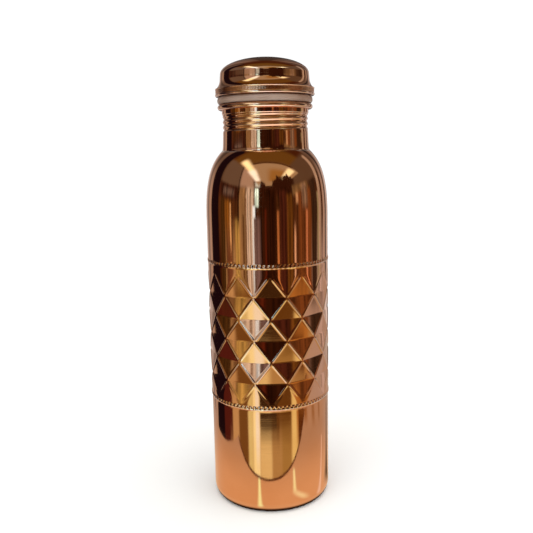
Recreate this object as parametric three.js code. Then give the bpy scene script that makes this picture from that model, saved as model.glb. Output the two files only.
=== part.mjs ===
// A copper water bottle: a sheet-copper body with an embossed band of diamonds, a base plate brazed
// into its foot, a threaded neck brazed into its shoulder, and a domed lid that screws into the neck
// over a soft washer. Millimetres, +Z up, origin at the centre of the foot's resting ring.
import * as THREE from "three";

// ---- driving dimensions ----

const SHEET = 0.7; // thickness of the copper sheet
const GAP = 0.3; // gap left between pieces that meet

const BODY_RADIUS = 36;
const LOWER_RADIUS = 35.8; // plain wall under the band
const BEAD_RADIUS = 36.25; // crest of the two knurled bead lines
const BEAD_HEIGHT = 4.2;

const FOOT_INNER_RADIUS = 29.6;
const FOOT_REST_RADIUS = 31.6; // outer edge of the flat resting ring
const FOOT_CORNER_HEIGHT = 6.4;

const DIAMONDS_AROUND = 12;
const DIAMOND_ROWS = 6; // half-diamond rows in the band
const ROW_HEIGHT = 12.5;
const FACET_DEPTH = 0.64; // share of the way that the round wall is pressed in to flat triangles
const BAND_BOTTOM = 66.9;
const BAND_TOP = BAND_BOTTOM + DIAMOND_ROWS * ROW_HEIGHT;
const LOWER_BEAD_BOTTOM = 62.8;
const UPPER_BEAD_BOTTOM = 144.9;

const SHOULDER_BOTTOM = 172;
const SHOULDER_TOP = 210.7;
const SHOULDER_OPENING = 25.75; // radius of the hole that the neck stands in
const SHOULDER_LIFT = 19.5; // how far the shoulder's curve carries on straight up the wall
const SHOULDER_SLOPE = 7.6; // how far it runs at 45 degrees into the opening

const NECK_BOTTOM = 206.6;
const NECK_CREASE_RADIUS = 25.4;
const NECK_WAIST_RADIUS = 24.9;
const NECK_WAIST_HEIGHT = 216.5;
const COLLAR_RADIUS = 25.1; // plain collar between the thread and the lip
const LIP_HEIGHT = 235.15; // height of the centre of the rolled lip
const LIP_RADIUS = 1.575; // outside radius of the roll

const THREAD_PITCH = 3;
const THREAD_DEPTH = 0.55;
const THREAD_CREST = 24.75; // outside radius of the neck over the rolled ridges
const THREAD_PHASE = 225.45; // height of a ridge's crest on the +X side
const THREAD_BOTTOM = 221.1;
const THREAD_TOP = 230.9;
const THREAD_RUNOUT = 1.2; // length over which the thread fades at each end
const THREAD_STEP = 0.6;

const SLEEVE_BOTTOM = 220.9;
const SLEEVE_PLAIN_RADIUS = 23.5;
const SLEEVE_FLANGE_RADIUS = 27.5;
const SLEEVE_FLANGE_BOTTOM = 242.1;

const GASKET_BOTTOM = 237.02;
const GASKET_TOP = 240.9;
const GASKET_INNER_RADIUS = 24.1;
const GASKET_OUTER_RADIUS = 27.6;

const LID_HEM_BOTTOM = 241.2;
const LID_HEM_TOP = 241.8;
const LID_HEM_INNER_RADIUS = 25.2;
const LID_FLANGE_RADIUS = 28.5; // under the knurl
const LID_FLANGE_BEAD = 28.8; // over the two beads beside the knurl
const LID_KNURL_BOTTOM = 242.8;
const LID_KNURL_TOP = 244.5;
const LID_FLARE_BOTTOM = 245.6;
const LID_FLARE_TOP = 250.6;
const LID_WALL_RADIUS = 25.85;
const LID_DOME_BOTTOM = 253.7;
const LID_DOME_RADIUS = 25.6;
const LID_DOME_RISE = 9.2;

const BASE_RIM_RADIUS = 32.2;
const BASE_RIM_BOTTOM = SHEET + GAP;
const BASE_PANEL_RADIUS = 23;
const BASE_PANEL_RISE = 2.2;
const BASE_STEP_WIDTH = 3; // of the curved step round the raised panel

const BASE_BRAZE_INNER_RADIUS = 31.2;
const BASE_BRAZE_WIDTH = 2;
const BASE_BRAZE_HEIGHT = 1.1;
const BASE_BRAZE_LEAN = 0.6; // its top edge stands this much further out
const NECK_BRAZE_BOTTOM = 207.2;
const NECK_BRAZE_WIDTH = 1.6;
const NECK_BRAZE_HEIGHT = 1.9;

const BODY_COLUMNS = 48; // four to each diamond, so that edges follow the facets
const FINE_COLUMNS = 36; // the neck, lid and smaller rings

// ---- shared shapes ----

const FULL_TURN = 2 * Math.PI;

function point(radius, height) {
  return new THREE.Vector2(radius, height);
}

// Points on an ellipse's arc, angles in degrees from the outward radial direction.
function arc(centre, radii, fromDegrees, toDegrees, steps) {
  const points = [];
  for (let i = 0; i <= steps; i += 1) {
    const angle = THREE.MathUtils.degToRad(THREE.MathUtils.lerp(fromDegrees, toDegrees, i / steps));
    points.push(point(centre.x + radii.x * Math.cos(angle), centre.y + radii.y * Math.sin(angle)));
  }
  return points;
}

// The same outline moved sideways by a distance, to the left of its direction of travel.
function offset(outline, distance) {
  return outline.map((here, i) => {
    const before = outline[Math.max(i - 1, 0)];
    const after = outline[Math.min(i + 1, outline.length - 1)];
    const along = after.clone().sub(before).normalize();
    return point(here.x - along.y * distance, here.y + along.x * distance);
  });
}

// A ring or cup turned about +Z. The angle is 0 at the front (-Y) and grows towards +X.
// reshape(radius, angle, height), where given, returns the radius that a vertex moves to.
function turned(outline, columns, reshape) {
  const geometry = new THREE.LatheGeometry(outline, columns);
  geometry.rotateX(Math.PI / 2);
  if (reshape) {
    const vertices = geometry.getAttribute("position");
    for (let i = 0; i < vertices.count; i += 1) {
      const [x, y, z] = [vertices.getX(i), vertices.getY(i), vertices.getZ(i)];
      const radius = Math.hypot(x, y);
      const scale = reshape(radius, Math.atan2(x, -y), z) / radius;
      vertices.setXY(i, x * scale, y * scale);
    }
  }
  return geometry;
}

// Splits each four-sided cell of a turned surface along its more prominent diagonal, so that the
// cells' edges follow the raised lines of the relief.
function followRidges(geometry, outlineLength, columns) {
  const vertices = geometry.getAttribute("position");
  const reach = (a, b) => {
    const x = vertices.getX(a) + vertices.getX(b);
    const y = vertices.getY(a) + vertices.getY(b);
    return Math.hypot(x, y);
  };
  const triangles = [];
  for (let column = 0; column < columns; column += 1) {
    for (let row = 0; row < outlineLength - 1; row += 1) {
      const a = column * outlineLength + row;
      const b = a + outlineLength;
      const c = b + 1;
      const d = a + 1;
      if (reach(a, c) > reach(b, d)) triangles.push(a, b, c, a, c, d);
      else triangles.push(a, b, d, c, d, b);
    }
  }
  geometry.setIndex(triangles);
  geometry.computeVertexNormals();
  return geometry;
}

function piece(name, geometry, color, roughness, metalness) {
  const material = new THREE.MeshStandardMaterial({ color, roughness, metalness });
  const mesh = new THREE.Mesh(geometry, material);
  mesh.name = name;
  return mesh;
}

function copperPiece(name, geometry) {
  return piece(name, geometry, 0xc9743f, 0.12, 1);
}

function brazePiece(name, geometry) {
  return piece(name, geometry, 0xb98a4a, 0.4, 1);
}

// ---- the diamond relief ----

// How far an angle is from the nearest of the directions shift, shift + spacing, and so on.
function angleFromNearest(angle, spacing, shift) {
  return Math.abs(THREE.MathUtils.euclideanModulo(angle - shift + spacing / 2, spacing) - spacing / 2);
}

// Radius of a flat-faced wall, as a share of the round wall's. Each diamond is two flat triangles that
// meet in a level crease: the crease is a chord between the diamond's side points, and all four of its
// corners lie on the round wall. The two end rows have only the diamonds' own halves.
function diamondShare(angle, height) {
  const level = (height - BAND_BOTTOM) / ROW_HEIGHT;
  const row = THREE.MathUtils.clamp(Math.floor(level), 0, DIAMOND_ROWS - 1);
  const rise = level - row;
  const spacing = FULL_TURN / DIAMONDS_AROUND;
  const chord = Math.cos(spacing / 2);
  const turn = row % 2 === 0 ? 0 : spacing / 2;
  const fromCrease = THREE.MathUtils.lerp(chord, 1, rise);
  const towardsCrease = THREE.MathUtils.lerp(1, chord, rise);
  const aboveCrease = fromCrease / Math.cos(angleFromNearest(angle, spacing, turn + spacing / 2));
  const belowCrease = towardsCrease / Math.cos(angleFromNearest(angle, spacing, turn));
  if (row === 0) return Math.min(belowCrease, 1);
  if (row === DIAMOND_ROWS - 1) return Math.min(aboveCrease, 1);
  return Math.min(aboveCrease, belowCrease);
}

function emboss(radius, angle, height) {
  if (height < BAND_BOTTOM || height > BAND_TOP) return radius;
  return radius - FACET_DEPTH * BODY_RADIUS * (1 - diamondShare(angle, height));
}

// ---- the screw thread ----

// 1 on a ridge's crest and 0 in the groove beside it, for a right-hand thread, fading to 'plain' at
// both ends of the threaded length.
function threadWave(angle, height, plain) {
  const fromCrest = (height - THREAD_PHASE) / THREAD_PITCH - (angle - Math.PI / 2) / FULL_TURN;
  const wave = 0.5 + 0.5 * Math.cos(FULL_TURN * fromCrest);
  const fadeIn = THREE.MathUtils.smoothstep(height, THREAD_BOTTOM, THREAD_BOTTOM + THREAD_RUNOUT);
  const fadeOut = THREE.MathUtils.smoothstep(height, THREAD_TOP - THREAD_RUNOUT, THREAD_TOP);
  return THREE.MathUtils.lerp(plain, wave, fadeIn * (1 - fadeOut));
}

function threadHeights() {
  const steps = Math.round((THREAD_TOP - THREAD_BOTTOM) / THREAD_STEP);
  return Array.from({ length: steps + 1 }, (_, i) =>
    THREE.MathUtils.lerp(THREAD_BOTTOM, THREAD_TOP, i / steps));
}

// ---- the bottle ----

function bodyShell() {
  const cornerCentre = point(FOOT_REST_RADIUS, FOOT_CORNER_HEIGHT);
  const cornerRadii = point(LOWER_RADIUS - FOOT_REST_RADIUS, FOOT_CORNER_HEIGHT);
  const innerCornerRadii = cornerRadii.clone().subScalar(SHEET);
  const beadLine = (bottom, below, above) => [
    point(below, bottom),
    point(BEAD_RADIUS, bottom + BEAD_HEIGHT / 4),
    point(BEAD_RADIUS, bottom + (3 * BEAD_HEIGHT) / 4),
    point(above, bottom + BEAD_HEIGHT),
  ];
  const bandRows = Array.from({ length: 2 * DIAMOND_ROWS - 1 }, (_, i) =>
    BAND_BOTTOM + ((i + 1) * ROW_HEIGHT) / 2);
  const shoulder = new THREE.CubicBezierCurve(
    point(BODY_RADIUS, SHOULDER_BOTTOM),
    point(BODY_RADIUS, SHOULDER_BOTTOM + SHOULDER_LIFT),
    point(SHOULDER_OPENING + SHOULDER_SLOPE, SHOULDER_TOP - SHOULDER_SLOPE),
    point(SHOULDER_OPENING, SHOULDER_TOP),
  ).getPoints(8);
  const innerShoulder = offset(shoulder, SHEET);
  innerShoulder[innerShoulder.length - 1] = point(SHOULDER_OPENING, SHOULDER_TOP - Math.SQRT2 * SHEET);
  const outside = [
    point(FOOT_INNER_RADIUS, 0),
    ...arc(cornerCentre, cornerRadii, -90, 0, 4),
    ...beadLine(LOWER_BEAD_BOTTOM, LOWER_RADIUS, BODY_RADIUS),
    ...bandRows.map((height) => point(BODY_RADIUS, height)),
    point(BODY_RADIUS, BAND_TOP),
    ...beadLine(UPPER_BEAD_BOTTOM, BODY_RADIUS, BODY_RADIUS),
    ...shoulder,
  ];
  const inside = [
    ...innerShoulder.reverse(),
    point(BODY_RADIUS - SHEET, BAND_TOP),
    ...bandRows.reverse().map((height) => point(BODY_RADIUS - SHEET, height)),
    point(BODY_RADIUS - SHEET, BAND_BOTTOM),
    point(LOWER_RADIUS - SHEET, LOWER_BEAD_BOTTOM),
    ...arc(cornerCentre, innerCornerRadii, 0, -90, 4),
    point(FOOT_INNER_RADIUS, SHEET),
    point(FOOT_INNER_RADIUS, 0),
  ];
  const outline = [...outside, ...inside];
  return followRidges(turned(outline, BODY_COLUMNS, emboss), outline.length, BODY_COLUMNS);
}

function basePlate() {
  const panel = BASE_RIM_BOTTOM + BASE_PANEL_RISE;
  const step = new THREE.CubicBezierCurve(
    point(BASE_PANEL_RADIUS, panel),
    point(BASE_PANEL_RADIUS + BASE_STEP_WIDTH / 2, panel),
    point(BASE_PANEL_RADIUS + BASE_STEP_WIDTH / 2, BASE_RIM_BOTTOM),
    point(BASE_PANEL_RADIUS + BASE_STEP_WIDTH, BASE_RIM_BOTTOM),
  ).getPoints(5);
  const underside = [point(0, panel), ...step, point(BASE_RIM_RADIUS, BASE_RIM_BOTTOM)];
  const top = underside.map((p) => point(p.x, p.y + SHEET)).reverse();
  return turned([...underside, ...top], FINE_COLUMNS);
}

function baseBrazeRing() {
  const seat = BASE_RIM_BOTTOM + SHEET + GAP;
  const outer = BASE_BRAZE_INNER_RADIUS + BASE_BRAZE_WIDTH;
  const outline = [
    point(BASE_BRAZE_INNER_RADIUS, seat),
    point(outer, seat),
    point(outer + BASE_BRAZE_LEAN, seat + BASE_BRAZE_HEIGHT),
    point(BASE_BRAZE_INNER_RADIUS, seat),
  ];
  return turned(outline, FINE_COLUMNS);
}

function neckCollar() {
  const heights = threadHeights();
  const lipCentre = point(COLLAR_RADIUS - SHEET + LIP_RADIUS, LIP_HEIGHT);
  const rollOutside = point(LIP_RADIUS, LIP_RADIUS);
  const rollInside = point(LIP_RADIUS - SHEET, LIP_RADIUS - SHEET);
  const crease = point(NECK_CREASE_RADIUS, SHOULDER_TOP);
  const waist = point(NECK_WAIST_RADIUS, NECK_WAIST_HEIGHT);
  const bend = point(NECK_WAIST_RADIUS, crease.y + (waist.y - crease.y) / 3);
  const plainWall = [
    point(NECK_CREASE_RADIUS, NECK_BOTTOM),
    ...new THREE.QuadraticBezierCurve(crease, bend, waist).getPoints(4),
  ];
  const outside = [
    ...plainWall,
    ...heights.map((height) => point(THREAD_CREST, height)),
    point(COLLAR_RADIUS, THREAD_TOP + SHEET),
    ...arc(lipCentre, rollInside, 180, -110, 8),
  ];
  const inside = [
    ...arc(lipCentre, rollOutside, -110, 180, 10),
    point(COLLAR_RADIUS - SHEET, THREAD_TOP + SHEET),
    ...heights.reverse().map((height) => point(THREAD_CREST - SHEET, height)),
    ...plainWall.reverse().map((p) => point(p.x - SHEET, p.y)),
    plainWall[plainWall.length - 1],
  ];
  const roll = (radius, angle, height) => {
    if (height < THREAD_BOTTOM || height > THREAD_TOP) return radius;
    return radius - THREAD_DEPTH * (1 - threadWave(angle, height, 1));
  };
  return turned([...outside, ...inside], FINE_COLUMNS, roll);
}

function neckBrazeRing() {
  const wall = NECK_CREASE_RADIUS + GAP;
  const outline = [
    point(wall, NECK_BRAZE_BOTTOM),
    point(wall + NECK_BRAZE_WIDTH, NECK_BRAZE_BOTTOM),
    point(wall, NECK_BRAZE_BOTTOM + NECK_BRAZE_HEIGHT),
    point(wall, NECK_BRAZE_BOTTOM),
  ];
  return turned(outline, FINE_COLUMNS);
}

// ---- the lid ----

function gasket() {
  const middle = (GASKET_BOTTOM + GASKET_TOP) / 2;
  const roundness = point(1.2, (GASKET_TOP - GASKET_BOTTOM) / 2);
  const centre = point(GASKET_OUTER_RADIUS - roundness.x, middle);
  return turned(
    [
      point(GASKET_INNER_RADIUS, GASKET_BOTTOM),
      ...arc(centre, roundness, -90, 90, 6),
      point(GASKET_INNER_RADIUS, GASKET_TOP),
      point(GASKET_INNER_RADIUS, GASKET_BOTTOM),
    ],
    FINE_COLUMNS,
  );
}

// The dome is a slightly pointed quarter of an ellipse, from the wall's top to the axis.
function domeOutline(steps, inward) {
  const points = [];
  for (let i = 0; i <= steps; i += 1) {
    const angle = (i / steps) * (Math.PI / 2);
    const radius = (LID_DOME_RADIUS - inward) * Math.cos(angle);
    points.push(point(radius, LID_DOME_BOTTOM + (LID_DOME_RISE - inward) * Math.sin(angle)));
  }
  points[steps].x = 0;
  return points;
}

// The curve from the grip flange up to the lid's wall, hollow side outwards, moved in by a distance.
function lidFlare(inward, steps) {
  const foot = point(LID_FLANGE_RADIUS - inward, LID_FLARE_BOTTOM);
  const top = point(LID_WALL_RADIUS - inward, LID_FLARE_TOP);
  const bend = point(LID_WALL_RADIUS - inward, (foot.y + top.y) / 2);
  return new THREE.QuadraticBezierCurve(foot, bend, top).getPoints(steps);
}

function lidShell() {
  const flangeInner = LID_FLANGE_RADIUS - SHEET;
  const lowerHeight = (LID_KNURL_BOTTOM - LID_HEM_BOTTOM) / 2;
  const lowerBead = point(LID_FLANGE_BEAD - lowerHeight, LID_HEM_BOTTOM + lowerHeight);
  const upperHeight = (LID_FLARE_BOTTOM - LID_KNURL_TOP) / 2;
  const upperBead = point(LID_FLANGE_BEAD - upperHeight, LID_KNURL_TOP + upperHeight);
  const outside = [
    point(LID_HEM_INNER_RADIUS, LID_HEM_BOTTOM),
    ...arc(lowerBead, point(lowerHeight, lowerHeight), -90, 45, 4),
    point(LID_FLANGE_RADIUS, LID_KNURL_BOTTOM),
    point(LID_FLANGE_RADIUS, LID_KNURL_TOP),
    ...arc(upperBead, point(upperHeight, upperHeight), -45, 45, 3),
    ...lidFlare(0, 4),
    ...domeOutline(8, 0),
  ];
  const inside = [
    ...domeOutline(8, SHEET).reverse(),
    ...lidFlare(SHEET, 4).reverse(),
    point(flangeInner, LID_HEM_TOP),
    point(LID_HEM_INNER_RADIUS, LID_HEM_TOP),
    point(LID_HEM_INNER_RADIUS, LID_HEM_BOTTOM),
  ];
  return turned([...outside, ...inside], FINE_COLUMNS);
}

function lidThreadSleeve() {
  const heights = threadHeights();
  const minor = THREAD_CREST - SHEET - THREAD_DEPTH - GAP; // bottom of the groove of the male thread
  const bore = minor - SHEET;
  const flangeTop = SLEEVE_FLANGE_BOTTOM + SHEET;
  const outline = [
    point(bore, SLEEVE_BOTTOM),
    point(minor, SLEEVE_BOTTOM),
    ...heights.map((height) => point(minor, height)),
    point(SLEEVE_PLAIN_RADIUS, THREAD_TOP + SHEET),
    point(SLEEVE_PLAIN_RADIUS, SLEEVE_FLANGE_BOTTOM),
    point(SLEEVE_FLANGE_RADIUS, SLEEVE_FLANGE_BOTTOM),
    point(SLEEVE_FLANGE_RADIUS, flangeTop),
    point(bore, flangeTop),
    point(bore, SLEEVE_BOTTOM),
  ];
  const roll = (radius, angle, height) => {
    if (radius < minor - SHEET / 2) return radius;
    if (height < THREAD_BOTTOM || height > THREAD_TOP) return radius;
    return radius + THREAD_DEPTH * threadWave(angle, height, 0);
  };
  return turned(outline, FINE_COLUMNS, roll);
}

// ---- assembly ----

const bottle = new THREE.Group();
bottle.add(
  copperPiece("body_shell", bodyShell()),
  copperPiece("base_plate", basePlate()),
  brazePiece("base_braze_ring", baseBrazeRing()),
  copperPiece("neck_collar", neckCollar()),
  brazePiece("neck_braze_ring", neckBrazeRing()),
);

const washer = new THREE.Group();
washer.add(piece("gasket", gasket(), 0xd8cfc4, 0.55, 0));

const lid = new THREE.Group();
lid.add(
  copperPiece("lid_shell", lidShell()),
  copperPiece("lid_thread_sleeve", lidThreadSleeve()),
);

const copperBottle = new THREE.Group();
copperBottle.add(bottle, washer, lid);

export default copperBottle;
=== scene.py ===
"""Copper water bottle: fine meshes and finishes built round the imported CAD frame, in metres, +Z up.

Each sheet-metal piece is a surface of revolution made ring by ring, with its relief (diamond
facets, beaded lines, screw thread, knurl) worked into the rings' radii."""

import math

import bpy
import numpy as np
from mathutils import Matrix, Vector


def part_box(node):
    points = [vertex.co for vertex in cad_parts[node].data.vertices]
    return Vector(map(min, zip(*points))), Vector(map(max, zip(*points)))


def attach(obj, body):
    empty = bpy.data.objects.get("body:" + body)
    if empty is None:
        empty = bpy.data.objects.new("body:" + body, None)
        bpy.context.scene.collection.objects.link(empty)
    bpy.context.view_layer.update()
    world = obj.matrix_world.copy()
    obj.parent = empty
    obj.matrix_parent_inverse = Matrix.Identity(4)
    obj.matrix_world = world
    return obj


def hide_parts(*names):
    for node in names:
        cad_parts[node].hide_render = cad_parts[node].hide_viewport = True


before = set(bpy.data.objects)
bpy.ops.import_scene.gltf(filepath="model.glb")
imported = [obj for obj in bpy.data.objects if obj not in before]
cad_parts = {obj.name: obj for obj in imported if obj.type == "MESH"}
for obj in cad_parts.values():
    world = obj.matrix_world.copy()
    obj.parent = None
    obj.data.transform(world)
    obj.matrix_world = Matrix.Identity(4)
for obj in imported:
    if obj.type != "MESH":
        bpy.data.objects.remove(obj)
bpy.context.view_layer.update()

MM = 0.001
FULL_TURN = 2 * math.pi

# ---- driving dimensions, in millimetres, read from the frame where it states them ----


def box_mm(node):
    """A node's lowest and highest corners in millimetres."""
    low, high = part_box(node)
    return low / MM, high / MM


BODY_HIGH = box_mm("body_shell")[1]
NECK_LOW, NECK_HIGH = box_mm("neck_collar")
GASKET_LOW, GASKET_HIGH = box_mm("gasket")
LID_LOW, LID_HIGH = box_mm("lid_shell")
SLEEVE_LOW, SLEEVE_HIGH = box_mm("lid_thread_sleeve")
PLATE_LOW, PLATE_HIGH = box_mm("base_plate")

SHEET = 0.7
BEAD_PEAK = BODY_HIGH.x  # crest of the beaded lines
PLAIN_RADIUS = BEAD_PEAK - 0.25  # upper wall
LOWER_RADIUS = BEAD_PEAK - 0.45  # wall under the band
BEAD_HEIGHT = 4.2
BEAD_NOTCH = 0.1  # depth of the notches between ribs, below the wall
# Plain rings this far above and below a bead line keep its shading off the wall.
FAR_RING, NEAR_RING = 0.5, 0.1
BEADS_AROUND = 90
# Profile of a beaded line, in shares of its height: the lip's middle and spread, where the ribs
# start and where they end. LIP_PLAIN is the share of the lip that doesn't rise and fall with them.
LIP_MIDDLE, LIP_SPREAD = 0.38, 0.13
RIBS_START = (0.36, 0.5)
RIBS_END = (0.7, 0.84)
LIP_PLAIN = 0.7
WALL_STEP = (0.1, 0.9)  # where the wall goes from its radius below the line to the one above

FOOT_REST_RADIUS = 31.6
FOOT_INNER_RADIUS = 29.6
FOOT_CORNER_HEIGHT = 6.4
FOOT_BEVEL = 0.12

DIAMONDS_AROUND = 12
DIAMOND_ROWS = 6
ROW_HEIGHT = 12.5
BAND_BOTTOM = 66.9
BAND_TOP = BAND_BOTTOM + DIAMOND_ROWS * ROW_HEIGHT
LOWER_BEAD_BOTTOM = 62.8
UPPER_BEAD_BOTTOM = 144.9
RIDGE_BLEND = 0.14  # depth over which two facets' edge is rounded
RIDGE_HALF_WIDTH = 0.56
RIDGE_RISE = 0.3
RIDGE_GAP = 1.5  # each line sinks to RIDGE_CORNER of its height within this of a diamond's corner
RIDGE_CORNER = 0.25
LINES_START = (0.1, 0.6)  # rows over which the lines rise from the band's bottom
LINES_END = (0.04, 0.22)  # and over which they sink to its top
FACET_DEPTH = 0.64  # share of the way from the round wall to flat triangles

SHOULDER_BOTTOM = 172.0
SHOULDER_TOP = BODY_HIGH.z
MOUTH_RADIUS = 25.45  # of the hole that the neck stands in
SHOULDER_CURVE = [
    (PLAIN_RADIUS, SHOULDER_BOTTOM),
    (PLAIN_RADIUS, 191.5),
    (33.4, 203.1),
    (MOUTH_RADIUS, SHOULDER_TOP),
]

CREASE_RADIUS = 25.4
COLLAR_RADIUS = 25.1
LIP_RADIUS = 1.575
LIP_ROLL = -110  # angle at which the lip's roll ends, under it
LIP_HEIGHT = NECK_HIGH.z - LIP_RADIUS
THREAD_PITCH = 3.0
THREAD_DEPTH = 0.55
THREAD_CREST = 24.75
THREAD_PHASE = 225.45
THREAD_BOTTOM = 221.1
THREAD_TOP = 230.9
THREAD_RUNOUT = 1.2
THREAD_GAP = 0.3
THREAD_SHARPNESS = 1.2
NECK_FOOT_CURVE = [
    (CREASE_RADIUS, 211.0),
    (25.1, 212.0),
    (24.95, 214.5),
    (THREAD_CREST, THREAD_BOTTOM),
]
SLEEVE_PLAIN_RADIUS = 23.5
SLEEVE_CORNER = 0.8

PLATE_PANEL_RADIUS = 25.0  # middle of the step in the base plate
BASE_BRAZE = [(31.2, 0), (33.2, 0), (33.7, 1.0), (32.6, 0.6)]  # heights above the ring's seat
NECK_BRAZE = [(25.75, 207.2), (27.3, 207.2), (26.2, 208.2), (25.75, 209.1)]
WASHER_BORE = 24.1
WASHER_EDGE = 1.3  # how far the washer's rounded edge reaches in
WASHER_FLAT = 1.6
SHARP = 0.1  # bevel of a sheared edge

LID_DOME_BOTTOM = 253.7
LID_DOME_RADIUS = 25.6
LID_WALL_RADIUS = 25.85
FLANGE_PEAK = LID_HIGH.x
FLANGE_RADIUS = FLANGE_PEAK - 0.3
FLANGE_KNURLS = 216
KNURL_DEPTH = 0.075
KNURL_SLOPE = 1.15
LID_HEM_RADIUS = 25.2
LID_HEM = 0.6
# The lid's lower part, in heights above its bottom: each bead's inset from the flange, height and
# radii, the knurl's ends, and the flare up to the wall.
LOWER_LID_BEAD = (0.45, 0.85, (0.75, 0.85))
UPPER_LID_BEAD = (0.25, 4.15, (0.5, 0.35))
KNURL_ENDS = (1.7, 3.75)
LID_FLARE = [(28.2, 4.35), (26.9, 5.6), (26.0, 7.2), (LID_WALL_RADIUS, 9.4)]
LID_WALL_BOTTOM = 9.8

WALL_COLUMNS = 144
BAND_COLUMNS = 480
BEAD_COLUMNS = 720
BEAD_RINGS = 14
KNURL_COLUMNS = 864
THREAD_COLUMNS = 288
INSIDE_COLUMNS = 96
BRAZE_COLUMNS = 180
THREAD_RINGS, SLEEVE_RINGS, KNURL_RINGS = 72, 64, 17
QUAD_FLATNESS = 0.004  # a quad is split where its diagonals' reaches differ by more

# ---- rings and skins ----


def ring(radius, height, columns, relief=None):
    """One closed ring of points. The angle is 0 at the front (-Y) and grows towards +X."""
    angle = np.arange(columns) * (FULL_TURN / columns)
    reach = np.full(columns, float(radius))
    if relief is not None:
        reach = relief(reach, angle, height)
    return np.stack([reach * np.sin(angle), -reach * np.cos(angle), np.full(columns, height)], 1)


def rings(outline, columns, relief=None):
    """A ring for each radius and height of the outline."""
    return [ring(radius, height, columns, relief) for radius, height in outline]


def pole(height):
    """A single point on the axis, which closes a dome or a disc."""
    return np.array([[0.0, 0.0, height]])


def stitch(points, low, low_count, high, high_count, faces):
    """Faces between two rings whose first points are low and high. Equal rings give quads, split
    along the more prominent diagonal. Unequal ones give one many-sided face for each shared step,
    and two single points give none."""
    if low_count == high_count == 1:
        return
    if low_count == high_count:
        here = np.arange(low_count)
        there = (here + 1) % low_count
        a, b, c, d = low + here, low + there, high + there, high + here
        reach_ac = np.hypot(*(points[a] + points[c])[:, :2].T)
        reach_bd = np.hypot(*(points[b] + points[d])[:, :2].T)
        ridge = reach_ac > reach_bd + QUAD_FLATNESS
        valley = reach_bd > reach_ac + QUAD_FLATNESS
        plain = ~(ridge | valley)
        faces += np.stack([a, b, c, d], 1)[plain].tolist()
        for corners in ((a, b, c), (a, c, d)):
            faces += np.stack(corners, 1)[ridge].tolist()
        for corners in ((a, b, d), (b, c, d)):
            faces += np.stack(corners, 1)[valley].tolist()
        return
    steps = max(low_count, high_count)
    if min(low_count, high_count) > 1:
        steps = math.gcd(low_count, high_count)

    def span(first, count, step):
        """A ring's points from one shared step to the next."""
        if count == 1:
            return [first]
        each = count // steps
        return [first + (step * each + i) % count for i in range(each + 1)]

    for step in range(steps):
        faces.append(span(low, low_count, step) + span(high, high_count, step)[::-1])


def skin(name, loops, closed=True):
    """A mesh object through a list of rings, listed up the outside and down the inside."""
    points = np.concatenate(loops)
    counts = [len(loop) for loop in loops]
    starts = np.concatenate([[0], np.cumsum(counts)[:-1]]).tolist()
    faces = []
    pairs = [(i, i + 1) for i in range(len(loops) - 1)]
    if closed:
        pairs.append((len(loops) - 1, 0))
    for low, high in pairs:
        stitch(points, starts[low], counts[low], starts[high], counts[high], faces)
    mesh = bpy.data.meshes.new(name)
    mesh.from_pydata((points * MM).tolist(), [], faces)
    mesh.polygons.foreach_set("use_smooth", np.ones(len(mesh.polygons), bool))
    mesh.update()
    piece = bpy.data.objects.new(name, mesh)
    bpy.context.scene.collection.objects.link(piece)
    return piece


def arc(centre, radii, start, stop, steps):
    """Outline points on an ellipse's arc, angles in degrees from the outward radial direction."""
    (r, h), (wide, tall) = centre, radii
    angles = np.radians(np.linspace(start, stop, steps + 1))
    return [(r + wide * math.cos(a), h + tall * math.sin(a)) for a in angles]


def line(start, stop, steps):
    """Outline points from start up to, but without, stop."""
    (r0, h0), (r1, h1) = start, stop
    shares = np.linspace(0, 1, steps, endpoint=False)
    return [(r0 + (r1 - r0) * share, h0 + (h1 - h0) * share) for share in shares]


def bezier(corners, steps):
    """Outline points on a cubic curve, from its first corner to its last."""
    p0, p1, p2, p3 = (np.array(c) for c in corners)
    points = []
    for t in np.linspace(0, 1, steps + 1):
        u = 1 - t
        points.append(tuple(u**3 * p0 + 3 * u * u * t * p1 + 3 * u * t * t * p2 + t**3 * p3))
    return points


def inset(outline, distance):
    """The outline moved inwards, to the left of its direction of travel."""
    points = np.array(outline)
    along = np.gradient(points, axis=0)
    along /= np.linalg.norm(along, axis=1, keepdims=True)
    return [tuple(p) for p in points + distance * np.stack([-along[:, 1], along[:, 0]], 1)]


def smoothstep(low, high, value):
    """0 at low and 1 at high, eased."""
    share = np.clip((value - low) / (high - low), 0, 1)
    return share * share * (3 - 2 * share)


# ---- reliefs ----


def from_nearest(value, spacing):
    """Distance from the nearest whole multiple of spacing."""
    return np.abs((value + spacing / 2) % spacing - spacing / 2)


def smooth_min(a, b, width):
    """The lesser of a and b, rounded where they differ by less than width."""
    share = np.clip(0.5 + 0.5 * (b - a) / width, 0, 1)
    return b * (1 - share) + a * share - width * share * (1 - share)


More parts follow.
